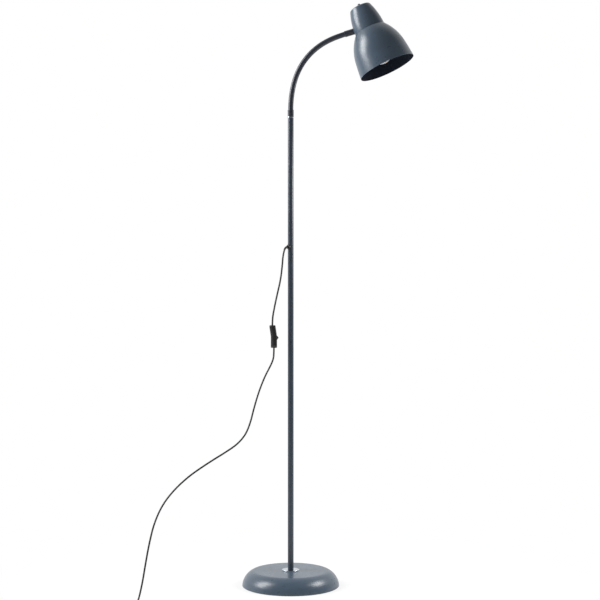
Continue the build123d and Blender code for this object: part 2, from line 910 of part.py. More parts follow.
def switch_rocker():
    """A ridged barrel on two pins."""
    ridge = Box(2 * rocker_ridge, rocker_width, rocker_ridge_width)
    ridge = Pos(rocker_set + rocker_radius, 0, -rocker_drop) * ridge
    outer_edges = ridge.edges().filter_by(Axis.Y).group_by(Axis.X)[-1]
    rocker = rocker_bar(rocker_radius, rocker_width) + fillet(outer_edges, rocker_ridge_width / 3)
    return switch_frame() * (rocker + rocker_bar(rocker_pin_radius, rocker_width + 2 * rocker_pin_reach))


def switch_terminals():
    blocks = []
    for axis, height in terminal_places():
        blocks.append(Pos(axis, 0, height) * Box(terminal_depth, terminal_width, terminal_length))
    return switch_frame() * (Part() + blocks)


def switch_screws():
    screws = []
    for side, height in switch_screw_places:
        head = -switch_front_face - lean_at(height) + switch_screw_sink
        seat = head + switch_screw_head_height
        tip = switch_split - lean_at(height) + switch_screw_grip
        screws.append(crosswise(switch_screw_head, head, seat, side, height))
        screws.append(crosswise(switch_screw_radius, seat, tip, side, height))
    return switch_frame() * (Part() + screws)


# Mains lead


lead_in_switch = terminal_middle + terminal_length / 2


def cord_upper():
    """From the bush's nose down to the switch."""
    nose = nose_arc()
    start = exit_frame() * Pos(*(nose @ 1))
    along = exit_frame() * Pos(*(nose @ 1 + nose % 1 * nose_lead_run))
    top = switch_frame() * Pos(-switch_top_shift, 0, switch_half + switch_lead_run)
    end = switch_frame() * Pos(-switch_top_shift, 0, lead_in_switch)
    points = [start.position, along.position, *upper_route, top.position, end.position]
    return mains_lead("cord_upper", points)


def coil_knot(number):
    """A point of the coil and its direction there. It goes in on the lower layer and out on the upper."""
    turn = coil_turns * number / coil_spans
    half = coil_turns / 2
    side = (number > coil_spans / 2) - (number < coil_spans / 2)
    radius = coil_inner_radius + coil_pitch * abs(turn - half)
    angle = coil_start_angle + 360 * turn
    steps = min(max(number - coil_spans / 2, -1), 1)
    height = cord_radius + cord_lift + coil_pitch * (steps + 1) / 2
    outward = Vector(cosine(angle), sine(angle), 0)
    onward = Vector(-sine(angle), cosine(angle), 0)
    rise = 0.0
    if side == 0:
        rise = coil_pitch / (coil_inner_radius * math.radians(360 * coil_turns / coil_spans))
    direction = onward + outward * (side * coil_pitch / (2 * math.pi * radius)) + Vector(0, 0, rise)
    return Vector(*coil_centre, height) + outward * radius, direction.normalized()


def two_arcs(start, start_direction, end, end_direction):
    """Two arcs that meet smoothly, between two points with a direction at each."""
    chord = end - start
    square = 2 * (start_direction.dot(end_direction) - 1)
    middle = -2 * chord.dot(start_direction + end_direction)
    reach = (-middle - math.sqrt(middle**2 - 4 * square * chord.dot(chord))) / (2 * square)
    meeting = (start + start_direction * reach + end - end_direction * reach) / 2
    first = TangentArc(start, meeting, tangent=start_direction)
    return [first, TangentArc(meeting, end, tangent=first % 1)]


def coil_arcs():
    arcs = []
    for number in range(coil_spans):
        arcs += two_arcs(*coil_knot(number), *coil_knot(number + 1))
    return arcs


def least_gap(arcs):
    """The least gap between turns, on points along them that are more than half a turn apart."""
    points = [arc @ (step / 12) for arc in arcs for step in range(12)]
    points = [(point.X, point.Y, point.Z) for point in points]
    apart = len(points) // (2 * math.ceil(coil_turns))
    nearest = min(
        math.dist(points[low], points[high])
        for low in range(len(points))
        for high in range(low + apart, len(points))
    )
    return nearest - 2 * cord_radius


def cord_coil():
    """The put-away length in two layers of turns, and a short run to the plug."""
    arcs = coil_arcs()
    end, direction = coil_knot(coil_spans)
    path = Wire([arc.edge() for arc in arcs] + [Line(end, end + direction * plug_lead_run).edge()])
    coil = sweep(Plane(origin=path @ 0, z_dir=path % 0) * Circle(cord_radius), path=path)
    length = coil.volume / (math.pi * cord_radius**2)
    print("cord_coil least gap", round(least_gap(arcs), 2), "length", round(path.length, 1), round(length, 1))
    print("coil least radius", round(min(arc.edge().radius for arc in arcs), 1))
    return coil


def cord_lower():
    """From the switch down to the floor and the coil."""
    start = switch_frame() * Pos(0, 0, -lead_in_switch)
    below = switch_frame() * Pos(0, 0, -switch_half - switch_lead_run)
    coil_start, direction = coil_knot(0)
    landing = coil_start - direction * landing_run
    return mains_lead("cord_lower", [start.position, below.position, *lower_route, landing, coil_start])


def cord_tie():
    """A flat band round the coil's turns."""
    first = (tie_angle - coil_start_angle) % 360 / 360
    turns = [first + number for number in range(math.ceil(coil_turns - first))]
    radii = [coil_inner_radius + coil_pitch * abs(turn - coil_turns / 2) for turn in turns]
    inner = min(radii) - cord_radius - tie_side_gap
    outer = max(radii) + cord_radius + tie_side_gap
    width = outer - inner
    height = 2 * cord_radius + coil_pitch + 2 * tie_flat_gap
    band = RectangleRounded(width + 2 * tie_wall, height + 2 * tie_wall, tie_corner + tie_wall)
    band -= RectangleRounded(width, height, tie_corner)
    outward = (cosine(tie_angle), sine(tie_angle), 0)
    onward = (sine(tie_angle), -cosine(tie_angle), 0)
    middle = Pos((inner + outer) / 2, cord_lift + height / 2 - tie_flat_gap)
    frame = Plane(origin=(*coil_centre, 0), x_dir=outward, z_dir=onward).location
    return extrude(frame * middle * band, tie_width / 2, both=True)


# Plug


plug_front = plug_neck_length + plug_length


def plug_frame():
    """At the lead's end, with Z along it, X across the plug and Y up."""
    end, direction = coil_knot(coil_spans)
    across = (-direction.Y, direction.X, 0)
    return Plane(origin=end + direction * plug_lead_run, x_dir=across, z_dir=direction).location


def plug_body():
    """Moulded plug with a tapered neck, and a seat for each pin."""
    block = Pos(0, 0, plug_neck_length + plug_length / 2) * Box(plug_width, plug_height, plug_length)
    block = fillet(block.edges().filter_by(Axis.Z), plug_edge)
    block = fillet(block.faces().sort_by(Axis.Z)[0].edges(), plug_edge / 2)
    block = fillet(block.faces().sort_by(Axis.Z)[-1].edges(), plug_edge / 5)
    neck_root = plug_neck_length + plug_edge / 2
    neck = turned((0, 0), (plug_neck_radius, 0), (plug_height / 2 - plug_edge / 2, neck_root), (0, neck_root))
    seats = pin_pair(pin_radius + fit_gap)
    return plug_frame() * (block + neck - seats)


def pin_pair(radius):
    pin = rod(radius, plug_front - pin_seat, plug_front + pin_length)
    return Part() + [Pos(side * pin_spacing / 2, 0, 0) * pin for side in (-1, 1)]


def plug_pins():
    pins = pin_pair(pin_radius)
    tips = pins.edges().group_by(Axis.Z)[-1]
    return plug_frame() * fillet(tips, pin_radius / 2)


# Output

in_head_frame = {
    "shade_ring": shade_ring,
    "lampholder_shell": lampholder_shell,
    "lampholder_core": lampholder_core,
    "lampholder_contact": lampholder_contact,
    "lampholder_terminals": lampholder_terminals,
    "lampholder_cap": lampholder_cap,
    "holder_stud": holder_stud,
    "holder_spacer": holder_spacer,
    "finial_nut": finial_nut,
    "bulb_glass": bulb_glass,
    "bulb_cap": bulb_cap,
    "bulb_tip": bulb_tip,
}

in_place = {
    "base_cover": base_cover,
    "base_weight": base_weight,
    "base_pad": base_pad,
    "foot_ring": foot_ring,
    "foot_plug": foot_plug,
    "foot_stud": foot_stud,
    "lock_washer": lock_washer,
    "foot_nut": foot_nut,
    "cord_bush": cord_bush,
    "pole_lead": pole_lead,
    "neck_lower_ferrule": neck_lower_ferrule,
    "neck_root_link": neck_root_link,
    "neck_tip_link": neck_tip_link,
    "neck_lead": neck_lead,
    "neck_upper_ferrule": neck_upper_ferrule,
    "neck_nut": neck_nut,
    "shade": shade,
    "socket_cup": socket_cup,
    "head_lead": head_lead,
    "switch_back": switch_back,
    "switch_front": switch_front,
    "switch_rocker": switch_rocker,
    "switch_terminals": switch_terminals,
    "switch_screws": switch_screws,
    "cord_upper": cord_upper,
    "cord_lower": cord_lower,
    "cord_coil": cord_coil,
    "cord_tie": cord_tie,
    "plug_body": plug_body,
    "plug_pins": plug_pins,
}


def make_pieces():
    pieces = {name: make() for name, make in in_place.items()}
    for name, make in in_head_frame.items():
        pieces[name] = head_frame() * make()
    for number, name in enumerate(("pole_lower", "pole_middle", "pole_upper")):
        pieces[name] = pole_tube(number)
    for number, name in enumerate(("pole_coupler_lower", "pole_coupler_upper")):
        pieces[name] = pole_coupler(number)
    for number in range(len(stations) - 1):
        pieces[f"neck_link_{number + 1:02d}"] = neck_link(number)
    return pieces


if __name__ == "__main__":
    os.makedirs("parts", exist_ok=True)
    for piece_name, piece in make_pieces().items():
        export_step(piece, f"parts/{piece_name}.step")
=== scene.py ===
"""Gooseneck reading floor lamp, dressed around its solids. Lengths are in metres."""

import json
import math

import bmesh
import bpy
from mathutils import Matrix, Vector

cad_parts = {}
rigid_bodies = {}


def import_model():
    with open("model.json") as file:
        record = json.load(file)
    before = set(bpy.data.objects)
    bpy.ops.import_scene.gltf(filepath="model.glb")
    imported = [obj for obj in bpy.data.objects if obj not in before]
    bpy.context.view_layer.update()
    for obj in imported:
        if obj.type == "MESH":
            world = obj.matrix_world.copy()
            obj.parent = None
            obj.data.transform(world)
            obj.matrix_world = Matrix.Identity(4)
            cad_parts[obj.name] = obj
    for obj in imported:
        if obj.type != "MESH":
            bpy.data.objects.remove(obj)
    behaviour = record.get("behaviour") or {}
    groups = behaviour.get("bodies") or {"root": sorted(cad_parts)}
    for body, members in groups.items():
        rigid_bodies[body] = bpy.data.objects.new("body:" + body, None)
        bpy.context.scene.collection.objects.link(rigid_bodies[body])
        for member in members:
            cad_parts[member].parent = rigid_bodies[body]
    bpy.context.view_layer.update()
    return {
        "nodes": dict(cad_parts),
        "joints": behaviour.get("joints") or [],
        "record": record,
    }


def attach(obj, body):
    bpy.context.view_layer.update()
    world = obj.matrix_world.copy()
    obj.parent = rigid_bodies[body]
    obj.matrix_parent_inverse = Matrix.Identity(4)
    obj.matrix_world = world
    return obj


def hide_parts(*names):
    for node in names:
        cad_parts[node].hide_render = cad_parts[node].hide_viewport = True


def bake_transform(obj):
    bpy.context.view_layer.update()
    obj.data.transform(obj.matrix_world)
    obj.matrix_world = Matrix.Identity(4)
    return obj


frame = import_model()
mm = 0.001

# Camera: level, at the photograph's height and side, with the pole a little left of the middle
camera_distance = 3.290
camera_height = 0.737
camera_side = math.radians(11)
camera_lens = 76.4
camera_shift = 0.0155
camera_sensor = 36.0

# Leads: centre points in millimetres, as the solids have them
lead_diameter = 4.5 * mm
upper_lead = (
    (-13.4, -15.4, 866.1),
    (-16.5, -19.0, 852.9),
    (-17.9, -20.8, 826.0),
    (-21.8, -23.6, 789.0),
    (-30.7, -29.3, 747.0),
    (-37.2, -34.8, 711.0),
    (-40.7, -37.4, 687.4),
    (-40.7, -37.4, 660.9),
)
lower_lead = (
    (-36.6, -36.6, 625.9),
    (-36.6, -36.6, 599.4),
    (-38.0, -39.0, 585.0),
    (-44.0, -43.2, 569.0),
    (-57.3, -51.4, 542.0),
    (-70.6, -62.0, 503.5),
    (-81.0, -72.4, 462.5),
    (-87.6, -81.3, 428.0),
    (-98.1, -90.8, 397.0),
    (-116.5, -103.1, 373.5),
    (-143.2, -119.5, 354.5),
    (-169.8, -136.9, 337.5),
    (-194.0, -154.5, 321.0),
    (-224.0, -174.0, 299.0),
    (-255.8, -193.4, 268.0),
    (-281.3, -211.0, 232.0),
    (-297.5, -226.5, 189.0),
    (-305.7, -240.0, 142.0),
    (-310.5, -254.0, 96.0),
    (-313.5, -268.0, 55.0),
    (-316.3, -283.0, 24.5),
    (-318.0, -296.0, 9.8),
    (-318.0, -309.3, 3.05),
)
coil_centre = (-284.0, -319.0)
coil_inner_radius = 20.5
coil_pitch = 5.0
coil_turns = 4.25
coil_start = math.radians(191)
coil_low = 3.05
coil_climb = 0.47
coil_steps = 16
plug_run = 14.0

# Neck
neck_radius = 6.75 * mm
neck_bore = 4.5 * mm
neck_lead_radius = 1.7 * mm
neck_around = 48
neck_steps = 6

# Pole
pole_radius = 7.5
pole_top = 1209.0
pole_ring_radius = 7.9
ring_height = 1.6
ring_edge = 0.4
ring_inset = 1.0

# Head
mouth_centre = (250.36, 0.0, 1328.98)
# faces of the shade that point further down than this, the underside of its rim, get the painted shade
mouth_facing = -0.9
head_lean = 24.3
shade_wall = 0.8
shade_hole = 20.2
shade_top = 107.618
shade_top_radius = 39.993
shade_top_edge = 2.5
shade_top_lean = 40.3
shade_shoulder_radius = 125.0
shade_shoulder_turn = 32.5
shade_side_radius = 700.0
shade_side_turn = 3.6

# Meshes: an arc's steps turn at most this many degrees and run at most this many millimetres
arc_turn_step = 2.5
arc_run_step = 4.0
arc_least_steps = 3
merge_reach = 0.002 * mm
sharp_angle = 35

# Finishes: the part of a noise's range that its two colours or glosses share out
noise_low = 0.3
noise_high = 0.7
wear_to_patches = 5
marks_detail = 3.0
plastic_ior = 1.53

# Studio
background_level = 1.0
backdrop_turn = math.radians(21)
room_light = 0.23
backdrop_light = 0.5
room_fade = (-0.25, 0.35)
floor_fade = (-0.3, 0.3)
floor_radius = 12.0
shadow_fade = (0.15, 0.8)
shadow_glow = 0.75
softboxes = (
    ("left_softbox", (-2.6, -0.75, 2.35), (0.1, 0, 1.3), 1.4, 2.15, 118),
    ("low_right_softbox", (1.24, 0.17, 1.12), (0.89, 0.12, 0.12), 0.8, 0.6, 19),
)

# Making


def add_node(tree, kind, settings=None, inputs=None):
    """A node of that kind, with its settings, and with values or other nodes' sockets on its inputs."""
    node = tree.nodes.new(kind)
    for name, value in (settings or {}).items():
        setattr(node, name, value)
    for name, value in (inputs or {}).items():
        if isinstance(value, bpy.types.NodeSocket):
            tree.links.new(value, node.inputs[name])
        else:
            node.inputs[name].default_value = value
    return node


def linear(colour):
    """An sRGB hex colour as linear red, green, blue and alpha."""
    channels = [int(colour[place : place + 2], 16) / 255 for place in (1, 3, 5)]
    bright = [c / 12.92 if c <= 0.04045 else ((c + 0.055) / 1.055) ** 2.4 for c in channels]
    return (*bright, 1.0)


def new_finish(name):
    """An empty material with its shader."""
    finish = bpy.data.materials.new(name)
    finish.use_nodes = True
    tree = finish.node_tree
    tree.nodes.clear()
    shader = add_node(tree, "ShaderNodeBsdfPrincipled")
    add_node(tree, "ShaderNodeOutputMaterial", inputs={"Surface": shader.outputs["BSDF"]})
    return finish, tree, shader


def surface(tree, shader, colours, patch, gloss, marks, depth):
    """Patches of two colours, a gloss that wanders between two values, and marks of that depth."""
    place = add_node(tree, "ShaderNodeTexCoord").outputs["Object"]
    patches = add_node(tree, "ShaderNodeTexNoise", inputs={"Vector": place, "Scale": 1 / patch})
    share = add_node(
        tree,
        "ShaderNodeMapRange",
        inputs={"Value": patches.outputs["Fac"], "From Min": noise_low, "From Max": noise_high},
    )
    mix = add_node(
        tree,
        "ShaderNodeMix",
        {"data_type": "RGBA"},
        {0: share.outputs["Result"], 6: linear(colours[0]), 7: linear(colours[1])},
    )
    wear = add_node(
        tree, "ShaderNodeTexNoise", inputs={"Vector": place, "Scale": wear_to_patches / patch}
    )
    rough = add_node(
        tree,
        "ShaderNodeMapRange",
        inputs={
            "Value": wear.outputs["Fac"],
            "From Min": noise_low,
            "From Max": noise_high,
            "To Min": gloss[0],
            "To Max": gloss[1],
        },
    )
    fine = add_node(
        tree,
        "ShaderNodeTexNoise",
        inputs={"Vector": place, "Scale": 1 / marks, "Detail": marks_detail},
    )
    bump = add_node(tree, "ShaderNodeBump", inputs={"Height": fine.outputs["Fac"], "Distance": depth})
    tree.links.new(mix.outputs[2], shader.inputs["Base Color"])
    tree.links.new(rough.outputs["Result"], shader.inputs["Roughness"])
    tree.links.new(bump.outputs["Normal"], shader.inputs["Normal"])


def satin_lacquer(name, colours, gloss=(0.27, 0.33), ior=1.52):
    """Baked lacquer on spun or drawn steel. It shows soft highlights and a faint orange peel."""
    finish, tree, shader = new_finish(name)
    surface(tree, shader, colours, 55 * mm, gloss, 1.6 * mm, 0.003 * mm)
    shader.inputs["IOR"].default_value = ior
    return finish


def moulded_plastic(name, colours, gloss, depth):
    """Injection-moulded plastic. Its mould leaves a fine even grain that breaks up the highlight."""
    finish, tree, shader = new_finish(name)
    surface(tree, shader, colours, 8 * mm, gloss, 0.35 * mm, depth)
    shader.inputs["IOR"].default_value = plastic_ior
    return finish


def bare_metal(name, colours, gloss, marks, depth):
    """Plated, turned or cast metal. The marks' size and depth say how its surface was made."""
    finish, tree, shader = new_finish(name)
    surface(tree, shader, colours, 12 * mm, gloss, marks, depth)
    shader.inputs["Metallic"].default_value = 1.0
    return finish


def lead_sheath(name, colours):
    """Extruded PVC. It is smooth and a little glossy, with faint marks from its drum."""
    finish, tree, shader = new_finish(name)
    surface(tree, shader, colours, 20 * mm, (0.38, 0.48), 1.2 * mm, 0.02 * mm)
    shader.inputs["IOR"].default_value = plastic_ior
    return finish


def foam_pad(name, colours):
    """Cross-linked foam sheet, cut to a disc. Its open cells make it dull and pitted."""
    finish, tree, shader = new_finish(name)
    surface(tree, shader, colours, 2 * mm, (0.85, 0.95), 0.8 * mm, 0.15 * mm)
    return finish


def coated_glass(name, colours):
    """Bulb glass, blown and powder-coated white inside. It looks milky under a glossy skin."""
    finish, tree, shader = new_finish(name)
    surface(tree, shader, colours, 15 * mm, (0.3, 0.4), 6 * mm, 0.01 * mm)
    shader.inputs["IOR"].default_value = 1.5
    shader.inputs["Coat Weight"].default_value = 0.4
    shader.inputs["Coat Roughness"].default_value = 0.06
    shader.inputs["Subsurface Weight"].default_value = 0.2
    shader.inputs["Subsurface Scale"].default_value = 4 * mm
    return finish


def piece(name, bm, finish):
    """A finished object from a bmesh that is already in place."""
    bmesh.ops.remove_doubles(bm, verts=bm.verts, dist=merge_reach)
    bmesh.ops.recalc_face_normals(bm, faces=bm.faces)
    mesh = bpy.data.meshes.new(name)
    bm.to_mesh(mesh)
    bm.free()
    mesh.polygons.foreach_set("use_smooth", [True] * len(mesh.polygons))
    mesh.set_sharp_from_angle(angle=math.radians(sharp_angle))
    mesh.materials.append(finish)
    made = bpy.data.objects.new(name, mesh)
    bpy.context.collection.objects.link(made)
    return made


def drawn(bm, start, runs):
    """A thin edge in the XZ plane, X out and Z up. It leaves the start straight along X.

    A run is ("to", x, z) or ("arc", radius, degrees), where left is positive.
    """
    vert = bmesh.ops.create_vert(bm, co=(start[0] * mm, 0, start[1] * mm))["vert"][0]
    heading = 0.0
    for kind, first, second in runs:
        here = vert.co.copy()
        if kind == "to":
            there = Vector((first * mm, 0, second * mm))
            heading = math.atan2(there.z - here.z, there.x - here.x)
            vert = bmesh.ops.extrude_vert_indiv(bm, verts=[vert])["verts"][0]
            bmesh.ops.translate(bm, verts=[vert], vec=there - here)
        else:
            turn = math.radians(second)
            side = math.copysign(first * mm, turn)
            centre = here + Vector((-math.sin(heading), 0, math.cos(heading))) * side
            turned = round(abs(second) / arc_turn_step)
            run = round(abs(turn) * first / arc_run_step)
            swept = bmesh.ops.spin(
                bm,
                geom=[vert],
                cent=centre,
                axis=(0, -1, 0),
                angle=turn,
                steps=max(arc_least_steps, turned, run),
            )
            vert = next(item for item in swept["geom_last"] if isinstance(item, bmesh.types.BMVert))
            heading += turn


def spun(name, start, runs, finish, place=None, around=128):
    """A piece spun round its axis from a drawn outline."""
    bm = bmesh.new()
    drawn(bm, start, runs)
    bmesh.ops.remove_doubles(bm, verts=bm.verts, dist=merge_reach)
    bmesh.ops.spin(
        bm,
        geom=[*bm.verts, *bm.edges],
        cent=(0, 0, 0),
        axis=(0, 0, 1),
        angle=math.tau,
        steps=around,
        use_merge=True,
    )
    if place:
        bmesh.ops.transform(bm, matrix=place, verts=bm.verts)
    return piece(name, bm, finish)


# Camera and leads


def photo_camera():
    """The camera of the photograph."""
    data = bpy.data.cameras.new("photo_camera")
    data.lens = camera_lens
    data.sensor_width = camera_sensor
    data.shift_x = camera_shift
    camera = bpy.data.objects.new("photo_camera", data)
    bpy.context.collection.objects.link(camera)
    camera.location = (
        camera_distance * math.sin(camera_side),
        -camera_distance * math.cos(camera_side),
        camera_height,
    )
    camera.rotation_euler = (math.pi / 2, 0, camera_side)
    bpy.context.scene.camera = camera


def coil_point(turn):
    """The coil's line after this many turns: in on the lower layer, up, and out on the upper."""
    half = coil_turns / 2
    radius = coil_inner_radius + coil_pitch * abs(turn - half)
    share = min(max((turn - half) / coil_climb + 0.5, 0), 1)
    height = coil_low + coil_pitch * share * share * (3 - 2 * share)
    angle = coil_start + turn * math.tau
    # the spline runs inside its points, so they stand a little further out
    radius /= 0.75 + 0.25 * math.cos(math.tau / coil_steps)
    across = coil_centre[0] + radius * math.cos(angle)
    deep = coil_centre[1] + radius * math.sin(angle)
    return (across, deep, height)


def lead_curve(name, points, finish):
    """A round lead along a smooth curve."""
    data = bpy.data.curves.new(name, "CURVE")
    data.dimensions = "3D"
    data.bevel_depth = lead_diameter / 2
    data.bevel_resolution = 4
    data.resolution_u = 10
    data.use_fill_caps = True
    spline = data.splines.new("NURBS")
    spline.points.add(len(points) - 1)
    for control, point in zip(spline.points, points):
        control.co = (point[0] * mm, point[1] * mm, point[2] * mm, 1)
    spline.order_u = 3
    spline.use_endpoint_u = True
    data.materials.append(finish)
    lead = bpy.data.objects.new(name, data)
    bpy.context.collection.objects.link(lead)
    return lead


def mains_lead(finish):
    """The lead from pole to switch, and from switch to plug with its put-away coil."""
    upper = lead_curve("upper_lead", upper_lead, finish)
    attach(upper, "stand")
    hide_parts("cord_upper")
    turns = [step / coil_steps for step in range(int(coil_turns * coil_steps) + 1)]
    coil = [coil_point(turn) for turn in turns]
    end_angle = coil_start + coil_turns * math.tau
    end_radius = coil_inner_radius + coil_pitch * coil_turns / 2
    onward = (-math.sin(end_angle), math.cos(end_angle))
    outward = (math.cos(end_angle), math.sin(end_angle))
    lean = coil_pitch / (math.tau * end_radius)
    run = [on + lean * out for on, out in zip(onward, outward)]
    size = math.hypot(*run)
    end = [coil_centre[axis] + end_radius * outward[axis] for axis in (0, 1)]
    tail = [
        (end[0] + run[0] / size * reach, end[1] + run[1] / size * reach, coil_low + coil_pitch)
        for reach in (plug_run / 2, plug_run)
    ]
    lower = lead_curve("lower_lead", [*lower_lead, *coil, *tail], finish)
    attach(lower, "stand")
    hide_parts("cord_lower", "cord_coil")


# Neck


def neck_knots():
    """The hinge centres, the places half way between them, and the neck's two ends."""
    hinges = [joint for joint in frame["joints"] if joint["name"].startswith("neck_")]
    centres = [Vector(joint["pos_m"]) for joint in hinges]
    half = (centres[1] - centres[0]).length / 2
    axis = Vector(hinges[-1]["axis"])
    heading = Vector((-axis.z, 0, axis.x))
    middles = [(low + high) / 2 for low, high in zip(centres, centres[1:])]
    ends = [centres[0] - Vector((0, 0, half)), *middles, centres[-1] + heading * half]
    bodies = [(joint["parent"], joint["child"]) for joint in hinges]
    return list(zip(bodies, ends, centres, ends[1:]))


def bent_tube(name, start, centre, end, outer, inner, finish):
    """A closed length of tube, straight at both ends, that turns evenly past a hinge."""
    arriving = (centre - start).normalized()
    leaving = (end - centre).normalized()
    turn = arriving.angle(leaving)
    side = Vector((0, 1, 0)).cross(arriving)
    middle = start + side * ((centre - start).length / math.tan(turn / 2))
    bm = bmesh.new()
    place = Matrix.Translation(start) @ arriving.to_track_quat("Z", "Y").to_matrix().to_4x4()
    walls = [outer, inner] if inner else [outer]
    firsts = []
    lasts = []
    for radius in walls:
        ring = bmesh.ops.create_circle(bm, segments=neck_around, radius=radius, matrix=place)["verts"]
        edges = list({edge for vert in ring for edge in vert.link_edges})
        swept = bmesh.ops.spin(
            bm, geom=edges, cent=middle, axis=(0, 1, 0), angle=turn, steps=neck_steps
        )
        firsts += edges
        lasts += [item for item in swept["geom_last"] if isinstance(item, bmesh.types.BMEdge)]
    for ring in (firsts, lasts):
        if inner:
            bmesh.ops.bridge_loops(bm, edges=ring)
        else:
            bmesh.ops.contextual_create(bm, geom=ring)
    return piece(name, bm, finish)


def neck(sleeve, insulation):
    """The sleeve and the lead inside it, in one length for each hinge."""
    for number, (bodies, start, centre, end) in enumerate(neck_knots(), 1):
        line = (start, centre, end)
        tube = bent_tube(f"neck_sleeve_{number:02d}", *line, neck_radius, neck_bore, sleeve)
        lead = bent_tube(f"neck_core_{number:02d}", *line, neck_lead_radius, None, insulation)
        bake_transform(tube)
        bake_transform(lead)
        if number == 1:
            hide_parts("neck_root_link")
            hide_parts("neck_lead")
        else:
            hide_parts(f"neck_link_{number - 1:02d}")
        if number == 12:
            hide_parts("neck_tip_link")


# Pole


def pole_top_ring(finish):
    """The thin bright ring between the pole and the neck's lower ferrule."""
    low = pole_top - ring_height / 2
    high = pole_top + ring_height / 2
    inner_radius = pole_radius - ring_inset
    ring = spun(
        "pole_top_ring",
        (inner_radius, low),
        (
            ("to", pole_ring_radius - ring_edge, low),
            ("arc", ring_edge, 90),
            ("to", pole_ring_radius, high - ring_edge),
            ("arc", ring_edge, 90),
            ("to", inner_radius, high),
            ("to", inner_radius, low),
        ),
        finish,
        around=64,
    )
    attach(ring, "stand")


# Head

# the mouth's centre, with the head's axis leaning back from it
head_turn = Matrix.Rotation(-math.radians(head_lean), 4, "Y")
head_place = Matrix.Translation(Vector(mouth_centre) * mm) @ head_turn


def bell_shade(outside, inside):
    """The shade: a shell with a rounded rim. Its inside and the underside of its rim get the second
    finish, a near-black painted shade.
    """
    shoulder_centre = shade_top - shade_shoulder_radius * math.sin(math.radians(shade_top_lean))
    edge_reach = shade_top_edge * math.tan(math.radians(90 - shade_top_lean) / 2)
    edge_turn = math.degrees(edge_reach / shade_shoulder_radius)
    inner_radius = shade_shoulder_radius - shade_wall
    inner_top = shade_top - shade_wall
    inner_lean = math.degrees(math.asin((inner_top - shoulder_centre) / inner_radius))
    shell = spun(
        "bell_shade",
        (shade_hole, inner_top),
        (
            ("to", shade_hole, shade_top),
            ("to", shade_top_radius - edge_reach, shade_top),
            ("arc", shade_top_edge, shade_top_lean - 90 - edge_turn),
            ("arc", shade_shoulder_radius, edge_turn - shade_shoulder_turn),
            ("arc", shade_side_radius, -shade_side_turn),
            ("arc", shade_wall / 2, -180),
            ("arc", shade_side_radius - shade_wall, shade_side_turn),
            ("arc", inner_radius, inner_lean - shade_top_lean + shade_shoulder_turn),
            ("to", shade_hole, inner_top),
        ),
        outside,
        head_place,
    )
    shell.data.materials.append(inside)
    # painted shade: the inside and the rim's underside are drawn near-black for the shade that falls in
    # the lampshade
    back = head_place.inverted()
    for face in shell.data.polygons:
        centre = back @ face.center
        normal = back.to_3x3() @ face.normal
        inward = normal.x * centre.x + normal.y * centre.y < 0
        face.material_index = 1 if inward or normal.z < mouth_facing else 0
    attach(shell, "head")
    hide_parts("shade")


# Studio


def studio():
    """White floor and backdrop, an unlit room on the camera's side, and soft lamps left and right."""
    world = bpy.data.worlds.new("surroundings")
    bpy.context.scene.world = world
    world.use_nodes = True
    tree = world.node_tree
    tree.nodes.clear()
    place = add_node(tree, "ShaderNodeTexCoord")
    behind = backdrop_side(tree, place.outputs["Generated"], *room_fade)
    bounced = add_node(
        tree,
        "ShaderNodeMapRange",
        inputs={"Value": behind, "To Min": room_light, "To Max": backdrop_light},
    ).outputs["Result"]
    level = add_node(
        tree, "ShaderNodeMix", inputs={0: shown(tree, behind), 2: bounced, 3: background_level}
    ).outputs[0]
    ground = add_node(tree, "ShaderNodeBackground", inputs={"Color": (1, 1, 1, 1), "Strength": level})
    add_node(tree, "ShaderNodeOutputWorld", inputs={"Surface": ground.outputs["Background"]})
    bm = bmesh.new()
    bmesh.ops.create_circle(bm, cap_ends=True, segments=64, radius=floor_radius)
    floor = piece("floor", bm, studio_board())
    for name, spot, aim, width, height, power in softboxes:
        data = bpy.data.lights.new(name, "AREA")
        data.shape = "RECTANGLE"
        data.size = width
        data.size_y = height
        data.energy = power
        lamp = bpy.data.objects.new(name, data)
        bpy.context.collection.objects.link(lamp)
        lamp.location = spot
        lamp.rotation_euler = (Vector(aim) - Vector(spot)).to_track_quat("-Z", "Y").to_euler()


def backdrop_side(tree, direction, near, far):
    """0 on the camera's side and 1 on the backdrop's."""
    away = add_node(
        tree,
        "ShaderNodeVectorMath",
        {"operation": "DOT_PRODUCT"},
        {0: direction, 1: (-math.sin(backdrop_turn), math.cos(backdrop_turn), 0)},
    )
    return add_node(
        tree,
        "ShaderNodeMapRange",
        {"interpolation_type": "SMOOTHSTEP"},
        {"Value": away.outputs["Value"], "From Min": near, "From Max": far},
    ).outputs["Result"]


def shown(tree, behind):
    """1 where the camera sees the white, and where gloss shows the backdrop."""
    path = add_node(tree, "ShaderNodeLightPath")
    gloss = add_node(
        tree, "ShaderNodeMath", {"operation": "MULTIPLY"}, {0: path.outputs["Is Glossy Ray"], 1: behind}
    )
    seen = add_node(
        tree,
        "ShaderNodeMath",
        {"operation": "MAXIMUM"},
        {0: path.outputs["Is Camera Ray"], 1: path.outputs["Is Transmission Ray"]},
    )
    return add_node(
        tree, "ShaderNodeMath", {"operation": "MAXIMUM"}, {0: seen.outputs[0], 1: gloss.outputs[0]}
    ).outputs[0]


